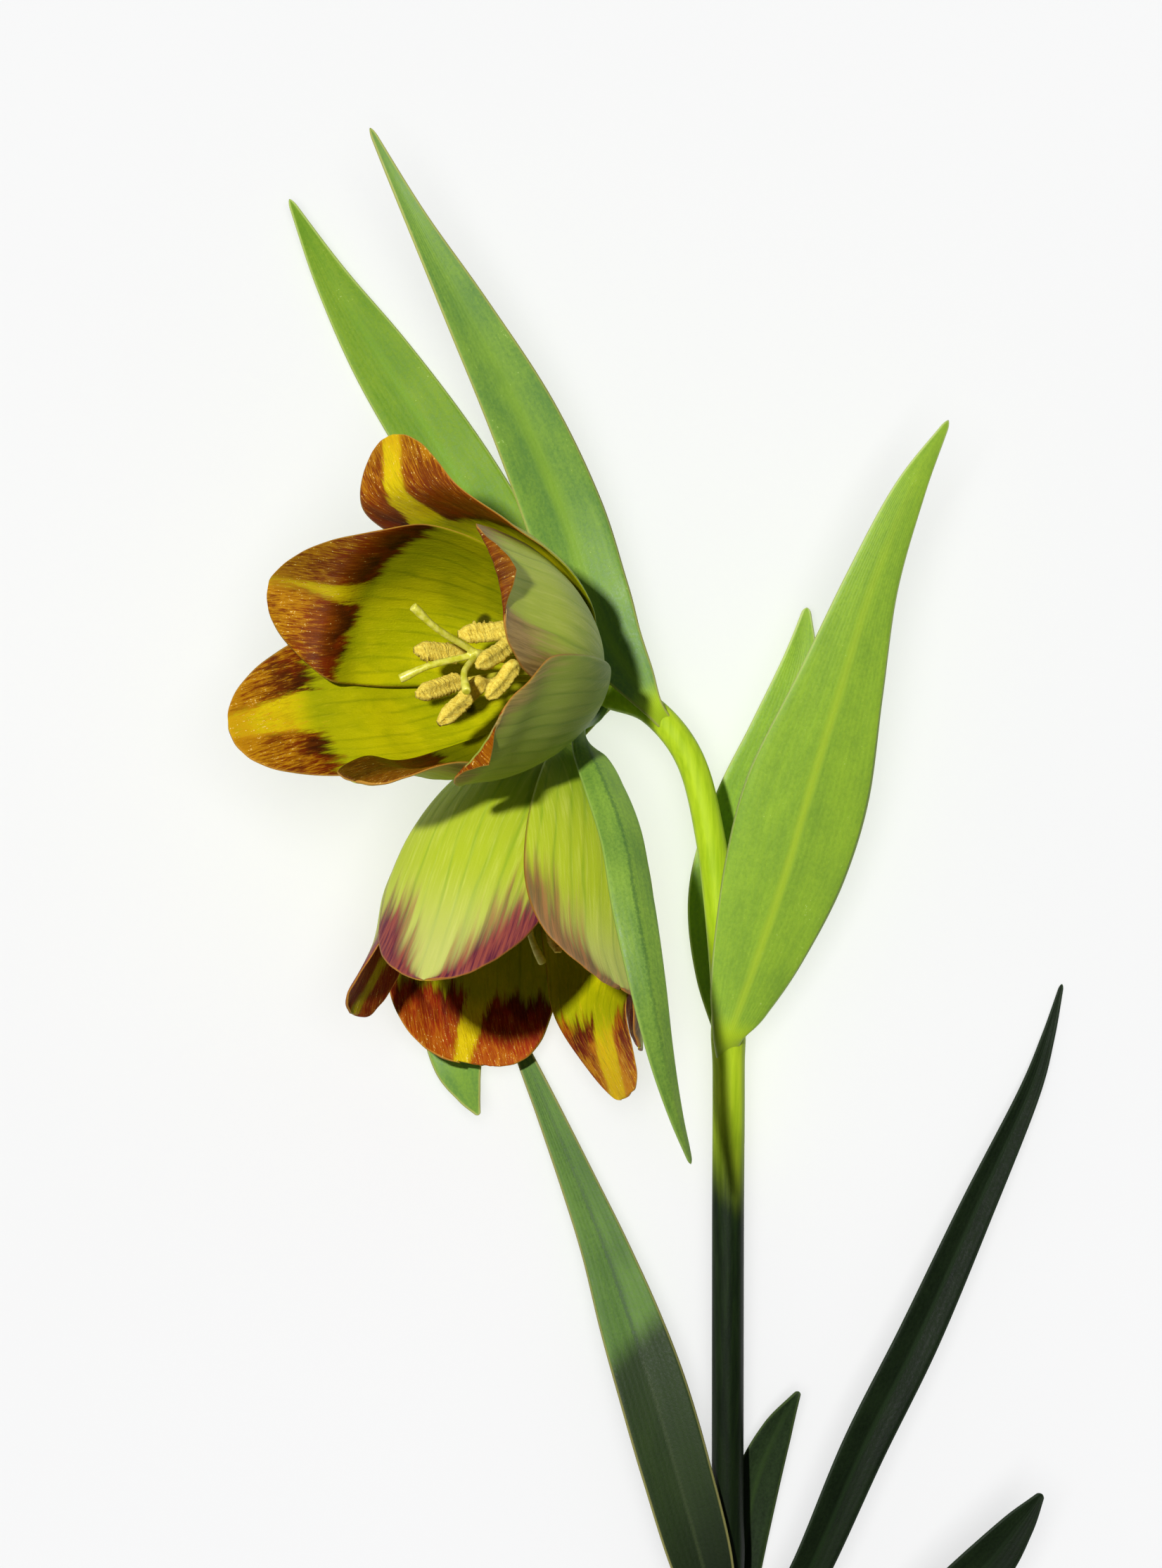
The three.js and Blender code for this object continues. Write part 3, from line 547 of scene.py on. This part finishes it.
def tepal_outside(bell_name):
    """Yellow-green with darker lines, and a maroon flush up its margins; shade darkens it as painted shade.
    """
    base, body, pale, maroon, rust = OUTSIDE_COLOURS[bell_name]
    f = Finish("tepal_outside_" + bell_name)
    across, along, share = f.attribute("blade")
    s, edge, seed = f.attribute("tone")
    fan, past, flush = f.attribute("veins")
    _, spread, shade = f.attribute("sheath")
    fibre = f.noise(across * 3.2, along * 0.16, seed, 4.0, 0.6)
    strand = f.noise(across * 1.1, along * 0.05, seed + 9.0, 3.0)
    wide = f.noise(fan * 0.35, along * 0.05, seed + 5.0, 2.0)
    speck = f.noise(across * 8.0, along * 5.0, seed + 2.0, 2.0)

    colour = f.mix((s + (wide - 0.5) * 0.3).ramp(0.0, 0.5), base, body)
    colour = f.mix(fibre.ramp(0.45, 0.75) * 0.45, colour, "c6cc5c")
    lines = fan.crests(LINE_PITCH, (wide - 0.5) * 9.0) ** 8.0
    colour = f.mix(lines * strand.ramp(0.35, 0.6, 0.08, 0.5), colour, "74961c")
    colour = f.mix(s.ramp(0.6, 0.95) * 0.55, colour, pale)
    # Painted shade: shade darkens the whole outside.
    colour = f.mix(shade, colour, "3f5610")
    side = abs(share) + spread + (strand - 0.5) * 0.9 + (fibre - 0.5) * 0.5 + (s - 0.85) * 0.9
    blush = side.ramp(0.22, 0.8) * (past + (strand - 0.5) * 0.3).ramp(-0.02, 0.16) * flush
    colour = f.mix(blush, colour, f.mix(fibre.ramp(0.35, 0.65), maroon, rust))
    colour = f.mix(edge.ramp(0.05, 0.3, 0.85, 0.0) * s.ramp(0.3, 0.6), colour, "a06a22")
    relief = fibre * 0.6 + speck * 0.4 - lines * 0.3
    return f.done(colour, speck.ramp(0.3, 0.7, 0.45, 0.58), relief, 0.045, Specular_IOR_Level=0.15,
                  **glowing(0.15, (0.8, 1.0, 0.2), 0.6))


def stem_material():
    """Bright green above, nearly black with painted shade below a slanting line, and pale where it is cut."""
    f = Finish("stem_skin")
    x, y, z = f.place()
    streak = f.noise(x * 1.8, y * 0.12, z * 1.8, 4.0, 0.6)
    patch = f.noise(x * 0.4, y * 0.1, z * 0.4, 2.0)
    grain = f.noise(x * 6.0, y * 3.0, z * 6.0, 2.0)
    colour = f.mix((streak * 0.6 + patch * 0.5).ramp(0.35, 0.75), "92b018", "b4cc28")
    # Painted shade: nearly black below a slanting line, and darker still towards the cut end.
    painted_stem_shade = (y + x * 0.8 + streak * 1.5).ramp(-17.0, -3.0, 1.0, 0.0)
    colour = f.mix(painted_stem_shade, colour, f.mix(streak.ramp(0.3, 0.7), "101b0b", "1c2b11"))
    colour = f.mix(y.ramp(-60.0, -20.0, 0.6, 0.0), colour, "0a1306")
    cut_end = STEM_PATH[0][1] - BOX_CENTRE[1]
    colour = f.mix(y.ramp(cut_end + 0.1, cut_end + 0.4, 1.0, 0.0), colour, "9aa86a")
    return f.done(colour, 0.45, streak * 0.7 + grain * 0.3, 0.05, Specular_IOR_Level=0.1,
                  **glowing(0.2, (0.8, 1.0, 0.2), 0.8))


def anther_material():
    """Powdery yellow, and greenish along the filament."""
    f = Finish("anther_pollen")
    x, y, z = f.place()
    coarse = f.noise(x * 2.2, y * 2.2, z * 2.2, 4.0, 0.7)
    fine = f.noise(x * 8.0, y * 8.0, z * 8.0, 2.0, 0.8)
    colour = f.mix((coarse * 0.6 + fine * 0.5).ramp(0.35, 0.75), "d0ac1c", "ffea66")
    along, _, _ = f.attribute("tone")
    colour = f.mix(along.ramp(0.4, 0.5, 1.0, 0.0), colour, "bfb81c")
    return f.done(colour, 0.9, coarse * 0.6 + fine * 0.8, 0.16)


def pistil_material():
    f = Finish("pistil_skin")
    x, y, z = f.place()
    soft = f.noise(x * 1.5, y * 1.5, z * 1.5, 3.0)
    colour = f.mix(soft.ramp(0.3, 0.7), "bdbb24", "dcd664")
    return f.done(colour, 0.35, soft, 0.04, **glowing(0.3, (1.0, 1.0, 0.3), 0.8))


def floor_material():
    f = Finish("pale_floor")
    x, y, _ = f.place()
    soft = f.noise(x * 0.01, y * 0.01, 0.0, 2.0)
    return f.done(f.mix(soft, "f4f4f4", "f7f7f7"), 0.9)


# ---- Blades ----------------------------------------------------------------------------------------

def sheet_faces(front, back, inner, back_side):
    """The faces over two grids of points that share their margin, and each face's material number."""
    margin = set(front.ravel()) - set(front[inner].ravel())
    faces, sides = [], []
    for grid, turn, side in ((front, 1, 0), (back, -1, back_side)):
        corners = [grid[:-1, :-1], grid[:-1, 1:], grid[1:, 1:], grid[1:, :-1]]
        for quad in np.stack(corners[::turn], -1).reshape(-1, 4).tolist():
            pivots = [k for k, point in enumerate(quad) if point not in margin]
            if len(pivots) == 1:   # a corner is cut through its inner point, or both sheets get the same cut
                turned = quad[pivots[0]:] + quad[:pivots[0]]
                pieces = [turned[:3], [turned[0], *turned[2:]]]
            else:
                pieces = [quad]
            faces += pieces
            sides += [side] * len(pieces)
    return faces, sides


def blade(name, middle, half, thickness, materials, seed, share_along, steady, **vectors):
    """A closed thin sheet round the grid of points middle, thickest inside and rounded off at its margins."""
    rows, columns = middle.shape[0] - 1, middle.shape[1] - 1
    s = np.linspace(0, 1, rows + 1)[:, None]
    u = np.linspace(-1, 1, columns + 1)[None, :]
    across_end, along_end = 10, 60   # how late the thickness falls away, across and along
    body = np.sqrt(np.clip(1 - np.abs(u) ** across_end, 0, 1) * np.clip(1 - s ** along_end, 0, 1)
                   * np.clip(1 - (1 - s) ** along_end, 0, 1))
    lift = normals(middle, steady) * (body * np.minimum(thickness, half) / 2)[..., None]
    steps = np.linalg.norm(np.diff(middle[:, columns // 2], axis=0), axis=1)
    length = np.concatenate([[0], np.cumsum(steps)])[:, None]
    vectors["blade"] = stacked(u * half, length, u)
    vectors["tone"] = stacked(share_along[:, None], half * (1 - np.abs(u)), seed)

    front = np.arange((rows + 1) * (columns + 1)).reshape(rows + 1, columns + 1)
    back = front.copy()
    inner = (slice(1, rows), slice(1, columns))
    back[inner] = front.size + np.arange((rows - 1) * (columns - 1)).reshape(rows - 1, columns - 1)
    faces, sides = sheet_faces(front, back, inner, len(materials) - 1)

    def both(of_front, of_back):
        return np.concatenate([of_front.reshape(-1, 3), of_back[inner].reshape(-1, 3)])
    points = both(middle + lift, middle - lift)
    points[:, 2] = np.maximum(points[:, 2], 0)   # not into the table
    grids = {key: np.broadcast_to(value, middle.shape) for key, value in vectors.items()}
    attributes = {key: both(grid, grid) for key, grid in grids.items()}
    return mesh_object(name, points, faces, materials, attributes, sides)


# ---- Stem ------------------------------------------------------------------------------------------

def bell_frame(bell):
    """The bell's seat and its axis, with the directions that azimuth 0 and 90 look."""
    heading, rise = math.radians(bell["heading"]), math.radians(bell["rise"])
    axis = np.array([math.cos(heading) * math.cos(rise), math.sin(heading) * math.cos(rise), math.sin(rise)])
    front = unit(np.array([0, 0, 1]) - axis * axis[2])
    return dict(seat=np.array(bell["seat"]), axis=axis, front=front, side=np.cross(front, axis))


def on_axis(space, height):
    return space["seat"] + space["axis"] * height


def in_bell(space, place):
    azimuth, radius, height = place
    around = math.radians(azimuth)
    return (on_axis(space, height)
            + radius * (space["front"] * math.cos(around) + space["side"] * math.sin(around)))


def tube(path, radii, sides, steps, relief=None):
    """A closed bar along path rows, and how far along it each point is.

    radii(t) gives its half width and half depth, relief(t, angle) a factor.
    """
    t = np.linspace(0, 1, steps + 1)
    centre = rows_at(path, t)
    tangent = tangents(path, t, 0.003)
    across, turned = np.array([0.0, 0.0, 1.0]), []
    for direction in tangent:
        across = unit(across - direction * (across @ direction))
        turned.append(across)
    turned = np.array(turned)
    beside = np.cross(tangent, turned)
    angle = 2 * math.pi * np.arange(sides) / sides
    wide, thin = radii(t)
    factor = np.ones((steps + 1, sides)) if relief is None else relief(t[:, None], angle[None, :])
    points = (centre[:, None]
              + beside[:, None] * (wide[:, None] * np.cos(angle) * factor)[..., None]
              + turned[:, None] * (thin[:, None] * np.sin(angle) * factor)[..., None])
    grid = np.arange((steps + 1) * sides).reshape(steps + 1, sides)
    beyond = np.roll(grid, -1, axis=1)
    faces = np.stack([grid[:-1], beyond[:-1], beyond[1:], grid[1:]], -1).reshape(-1, 4).tolist()
    faces += [grid[0, ::-1].tolist(), grid[-1].tolist()]
    return points.reshape(-1, 3), faces, np.repeat(t, sides)


def round_bar(path, radius, sides, steps, relief=None):
    return tube(path, lambda t: (radius(t), radius(t)), sides, steps, relief)


def grown(name, tubes, voxel, passes, material):
    """One skin over closed tubes that run into each other, eased by so many passes."""
    points, faces, count = [], [], 0
    for tube_points, tube_faces, _ in tubes:
        points.append(tube_points)
        faces += [[count + k for k in face] for face in tube_faces]
        count += len(tube_points)
    thing = mesh_object(name, np.concatenate(points), faces, [material])
    skin = thing.modifiers.new("skin", "REMESH")
    skin.mode = "VOXEL"
    skin.voxel_size = voxel * MM
    ease = thing.modifiers.new("ease", "SMOOTH")
    ease.factor = 0.5
    ease.iterations = passes
    made = bpy.data.meshes.new_from_object(thing.evaluated_get(bpy.context.evaluated_depsgraph_get()))
    thing.modifiers.clear()
    thing.data = made
    shade_smooth(made)
    return thing


def stem():
    """The stem with its arched neck, and a pedicel out to each bell that widens to its receptacle."""
    def radius(t):
        base = STEM_RADIUS + (NECK_RADIUS - STEM_RADIUS) * smooth(0.4, 0.8, t)
        return base + SCAR_SWELLING * sum(np.exp(-((t - place) / SCAR_RUN) ** 2) for place in LEAF_SCARS)

    def ridges(t, angle):
        return 1 + 0.012 * np.sin(9 * angle + 4 * t) + 0.008 * np.sin(4 * angle - 9 * t)

    def pedicel_radius(t):
        return PEDICEL_RADIUS + (RECEPTACLE_RADIUS - PEDICEL_RADIUS) * smooth(0.8, 1.0, t)
    tubes = [round_bar(STEM_PATH, radius, sides=40, steps=240, relief=ridges)]
    for bell in BELLS:
        space = bell_frame(bell)
        below, above = -3, 0.5   # the receptacle's two ends on the bell's axis
        path = bell["fork"] + [on_axis(space, height).tolist() for height in (below, above)]
        tubes.append(round_bar(path, pedicel_radius, sides=28, steps=60))
    return dress(grown("stem_fine", tubes, voxel=0.2, passes=5, material=stem_material()), "stem")


# ---- Leaves ----------------------------------------------------------------------------------------

def leaf_spine(spec):
    """The leaf's spine rows, with one before them on the stem's axis."""
    stem_line = rows_at(STEM_PATH, np.linspace(0, 1, 400))
    first, second = (np.array(row) for row in spec["spine"][:2])
    behind = first[:3] - LEAF_ROOT_RUN * unit(second[:3] - first[:3])
    root = stem_line[np.argmin(np.linalg.norm(stem_line - behind, axis=1))]
    return [[*root, first[3] * LEAF_ROOT_WIDTH]] + spec["spine"]


def leaf(spec, number, material, rows=150, columns=36):
    """The leaf's blade, from inside the stem to its tip, with its rows closer together towards the tip."""
    spine = leaf_spine(spec)
    spans = len(spine) - 1
    t = 1 - (1 - np.linspace(0, 1, rows + 1)) ** 1.25
    u = np.linspace(-1, 1, columns + 1)
    line = rows_at(spine, t)
    tangent = tangents(spine, t, 0.004)
    share = np.clip((t * spans - 1) / (spans - 1), 0, 1)[:, None]
    up = np.array(spec["facing"][0]) * (1 - share) + np.array(spec["facing"][1]) * share
    up = unit(up - tangent * np.sum(up * tangent, axis=1, keepdims=True))
    side = np.cross(tangent, up)

    rounded = np.sqrt(1 - np.clip((t - 1) / LEAF_TIP_RUN + 1, 0, 1) ** 2)
    half = np.maximum(line[:, 3] * rounded, POINT_HALF_WIDTH)[:, None]
    crease = spec["crease"]
    fold = (np.sqrt(u ** 2 + crease ** 2) - crease) / (math.sqrt(1 + crease ** 2) - crease)
    edge_wave = LEAF_EDGE_WAVE * half * ripple(number)(t[:, None] * 14, 2.0 * u) * np.abs(u) ** 3
    rise = spec["channel"] * half * fold + edge_wave
    middle = line[:, None, :3] + side[:, None] * (half * u)[..., None] + up[:, None] * rise[..., None]
    middle[..., 2] = np.maximum(middle[..., 2], LEAF_THICKNESS / 2)

    steady = np.flatnonzero(t < 1 - LEAF_TIP_RUN)[-1]
    thing = blade(spec["name"] + "_fine", middle, half, LEAF_THICKNESS, [material], 3.7 * number, t, steady,
                  veins=stacked(u * half.max(), 0, 0))
    return dress(thing, spec["name"])


# ---- Tepals ----------------------------------------------------------------------------------------
# Along a tepal, s is the share of its rows and v its place on the bell's surface, where 1 is one span past
# MERIDIAN's last row. u goes across it, from -1 to 1.

def tepal_layer(spec, u, v, breadth):
    """How far outside the bell's mean surface a tepal lies, mm."""
    layer = (spec["whorl"] * WHORL_OFFSET + spec["lean"] * u * breadth) * smooth(0, 0.16, v)
    layer = layer + spec["roll"] * u * breadth * smooth(0.55, 1, v)
    return layer + spec["swell"] * np.sin(math.pi * np.clip(v, 0, 1))


def tepal_vectors(spec, share, u, across, fan):
    """What a tepal's materials read, as said over the materials."""
    def between(pair):
        return pair[0] * (1 - (u + 1) / 2) + pair[1] * ((u + 1) / 2)
    past = share - between(spec["stain"])
    centre, room, narrowing, gold = spec["stripe"]
    beyond = (np.abs(across - centre * (1 - share) / STRIPE_RUN)
              - room * (1.15 - narrowing * smooth(0, 0.3, past)))
    flush, *flush_start = spec["flush"]
    dusk = sum(deep * smooth(-0.45, 0.25, way * u) for deep, way in zip(spec["dusk"], (-1, 1)))
    return dict(marks=stacked(past, beyond, gold), veins=stacked(fan, share - between(flush_start), flush),
                sheath=stacked(dusk, spec["spread"] * smooth(0, 0.6, u), spec["shade"]))


def tepal(bell, space, given, number, materials, rows=110, columns=52):
    """The tepal's blade on its bell, from the receptacle to its tip."""
    spec = {**TEPAL, **given}
    s = np.linspace(0, 1, rows + 1)[:, None]
    u = np.linspace(-1, 1, columns + 1)[None, :]
    line = [[r * bell["girth"], h] for r, h in MERIDIAN] + spec["end"]
    reach = (len(line) - 1) / (len(MERIDIAN) + 1)
    q = np.clip((s - TEPAL_WIDEST) / (1 - TEPAL_WIDEST), 0, 1) * math.pi / 2   # a quarter turn over its end
    v = np.where(s < TEPAL_WIDEST, s, TEPAL_WIDEST + (reach - TEPAL_WIDEST) * np.sin(q))
    growth = np.sin(np.clip(s / TEPAL_WIDEST, 0, 1) * math.pi / 2) ** TEPAL_GROWTH
    widest, blunt = (np.where(u < 0, *spec[key]) for key in ("wide", "blunt"))
    body = TEPAL_BASE_HALF_WIDTH + (widest - TEPAL_BASE_HALF_WIDTH) * growth
    half = np.maximum(POINT_HALF_WIDTH, body * np.clip(np.cos(q), 0, 1) ** blunt)
    across = u * half
    fan = across * (widest / body)

    radius, height = np.moveaxis(rows_at(line, v / reach), -1, 0)
    around = np.radians(spec["azimuth"] + spec["sway"] * v ** 2)[..., None]
    radial = space["front"] * np.cos(around) + space["side"] * np.sin(around)
    tangential = space["side"] * np.cos(around) - space["front"] * np.sin(around)
    bend = (1 + (spec["cup"] - 1) * smooth(0.45, 1, v)) / radius
    breadth = smooth(0, 4, half)   # what is done across it fades where it is narrow
    seed = 11.3 * number + (50 if bell["name"] == "lower" else 0)
    wave = ripple(int(seed * 10))
    ribs = RIB_HEIGHT * np.cos(fan * (2 * math.pi / LINE_PITCH)) * smooth(0.1, 0.4, v)
    edge_wave = TEPAL_EDGE_WAVE * wave(v * 9, u * 2) * np.abs(u) ** 4 * smooth(0.55, 0.9, v) * breadth
    out = (radius + tepal_layer(spec, u, v, breadth) + ribs + edge_wave
           - (1 - np.cos(bend * across)) / bend)
    surface = (space["seat"] + space["axis"] * height[..., None] + radial * out[..., None]
               + tangential * (np.sin(bend * across) / bend)[..., None])

    steady = np.flatnonzero(half.max(axis=1) > STEADY_HALF_WIDTH)[-1]
    middle = surface - normals(surface, steady) * TEPAL_DEPTH
    share = v / reach
    name = f"{bell['name']}_tepal_{number}"
    thing = blade(name + "_fine", middle, half, TEPAL_THICKNESS, materials, seed, share[:, 0], steady,
                  **tepal_vectors(spec, share, u, across, fan))
    return dress(thing, name)


# ---- Stamens and pistils ---------------------------------------------------------------------------

def stamen(bell, space, rows, number, material):
    """A thin filament out of the receptacle, and the flat, furrowed anther that it ends in."""
    base, start, end = (in_bell(space, row) for row in rows)
    lead = base + space["axis"] * 0.45 * np.linalg.norm(start - base)
    root = base - space["axis"] * 1.2
    path = np.array([root, base, lead, start, (start + end) / 2, end])
    grain = ripple(number * 7 + 1, 9)

    def outside(t):
        """The share along what comes out of the receptacle."""
        return np.clip((t - SUNK_SHARE) / (1 - SUNK_SHARE), 0, 1)

    def radii(t):
        anther = smooth(0.46, 0.54, outside(t)) * np.sqrt(np.clip(1 - smooth(0.88, 1.0, outside(t)), 0.02, 1))
        return FILAMENT_RADIUS + 0.75 * anther, FILAMENT_RADIUS + 0.5 * anther

    def relief(t, angle):
        ripe = smooth(0.56, 0.64, t)
        groove = -0.3 * np.exp(-((np.abs(np.sin(angle)) - 1) / 0.10) ** 2)
        dust = 0.11 * grain(t * 190, angle * 5) * grain(t * 90 + 3, angle * 3 + 1)
        return 1 + ripe * (groove + dust)
    points, faces, t = tube(path, radii, sides=40, steps=170, relief=relief)
    name = f"{bell['name']}_stamen_{number}"
    thing = mesh_object(name + "_fine", points, faces, [material], {"tone": stacked(outside(t), 0, 0)})
    return dress(thing, name)


def pistil(bell, space, material):
    """A three-sided ovary, the style on it and three stigma lobes."""
    def below_style(t):
        return 1 - smooth(0.34, 0.46, t)

    def radius(t):
        return STYLE_RADIUS + 0.75 * smooth(0, 0.06, t) * below_style(t)

    def three_sided(t, angle):
        return 1 + 0.1 * np.cos(3 * angle) * below_style(t)

    def lobe_radius(t):
        return LOBE_RADIUS + 0.12 * smooth(0.6, 0.9, t)
    top = on_axis(space, STYLE_HEIGHT)
    bars = [round_bar([on_axis(space, 0.2), top], radius, sides=24, steps=80, relief=three_sided)]
    for place in LOBE_TIPS:
        end = in_bell(space, place)
        bow = (top + end) / 2 + space["axis"] * 0.9
        inside_style = on_axis(space, STYLE_HEIGHT - 0.7)
        bars.append(round_bar([inside_style, bow, end], lobe_radius, sides=16, steps=30))
    name = f"{bell['name']}_pistil"
    return dress(grown(name + "_fine", bars, voxel=0.13, passes=3, material=material), name)


# ---- The plant -------------------------------------------------------------------------------------

plant = [stem()]
leaf_finishes = {tint: leaf_material(tint) for tint in LEAF_TINTS}
for number, spec in enumerate(LEAVES, 1):
    plant.append(leaf(spec, number, leaf_finishes[spec["tint"]]))
pollen, pistil_skin = anther_material(), pistil_material()
for bell in BELLS:
    space = bell_frame(bell)
    tepal_sides = [tepal_inside(bell["name"]), tepal_outside(bell["name"])]
    for number, spec in enumerate(bell["tepals"], 1):
        plant.append(tepal(bell, space, spec, number, tepal_sides))
    for number, rows in enumerate(STAMENS, 1):
        plant.append(stamen(bell, space, rows, number, pollen))
    plant.append(pistil(bell, space, pistil_skin))


# ---- Floor, light and camera -----------------------------------------------------------------------

def floor():
    corners = BOX_CENTRE + FLOOR_REACH * np.array([[-1, -1, 0], [1, -1, 0], [1, 1, 0], [-1, 1, 0]])
    thing = mesh_object("floor", corners, [[0, 1, 2, 3]], [floor_material()])
    return thing


def lamp(name, place, size, watts, receivers, blockers):
    """A square soft light at a place in millimetres, which lights receivers, with shadows of blockers."""
    light = bpy.data.lights.new(name, "AREA")
    light.size = size * MM
    light.energy = watts
    thing = bpy.data.objects.new(name, light)
    bpy.context.scene.collection.objects.link(thing)
    thing.location = (np.array(place) - BOX_CENTRE) * MM
    thing.rotation_euler = Vector(np.array(VIEW_CENTRE) - np.array(place)).to_track_quat("-Z", "Y").to_euler()
    for key, pieces in (("receiver_collection", receivers), ("blocker_collection", blockers)):
        group = bpy.data.collections.new(name + "_" + key)
        for piece in pieces:
            group.objects.link(piece)
        setattr(thing.light_linking, key, group)


def camera():
    """Straight above the plant, with a long lens."""
    data = bpy.data.cameras.new("camera")
    data.lens = 135
    data.sensor_width = 36
    data.clip_start, data.clip_end = 0.01, 10
    thing = bpy.data.objects.new("camera", data)
    bpy.context.scene.collection.objects.link(thing)
    thing.location = (np.array([*VIEW_CENTRE[:2], CAMERA_HEIGHT]) - BOX_CENTRE) * MM
    return thing


def studio_world():
    world = bpy.data.worlds.new("studio")
    world.use_nodes = True
    sky = world.node_tree.nodes["Background"].inputs
    sky["Color"].default_value = (0.95, 0.97, 1.0, 1)
    sky["Strength"].default_value = 0.12
    return world


# The key lights the plant alone. Two larger lamps light the floor alone: the first casts no shadow of the
# plant, and the second a soft one.
ground = floor()
lamp("key", [-192, 229, 710], size=35, watts=6.7, receivers=plant, blockers=plant)
lamp("overhead", [-100, 150, 3000], size=2455, watts=67.7, receivers=[ground], blockers=[ground])
lamp("shading", [-100, 150, 3000], size=1636, watts=28.3, receivers=[ground], blockers=plant)
bpy.context.scene.world = studio_world()
bpy.context.scene.view_settings.view_transform = "Standard"
bpy.context.scene.camera = camera()
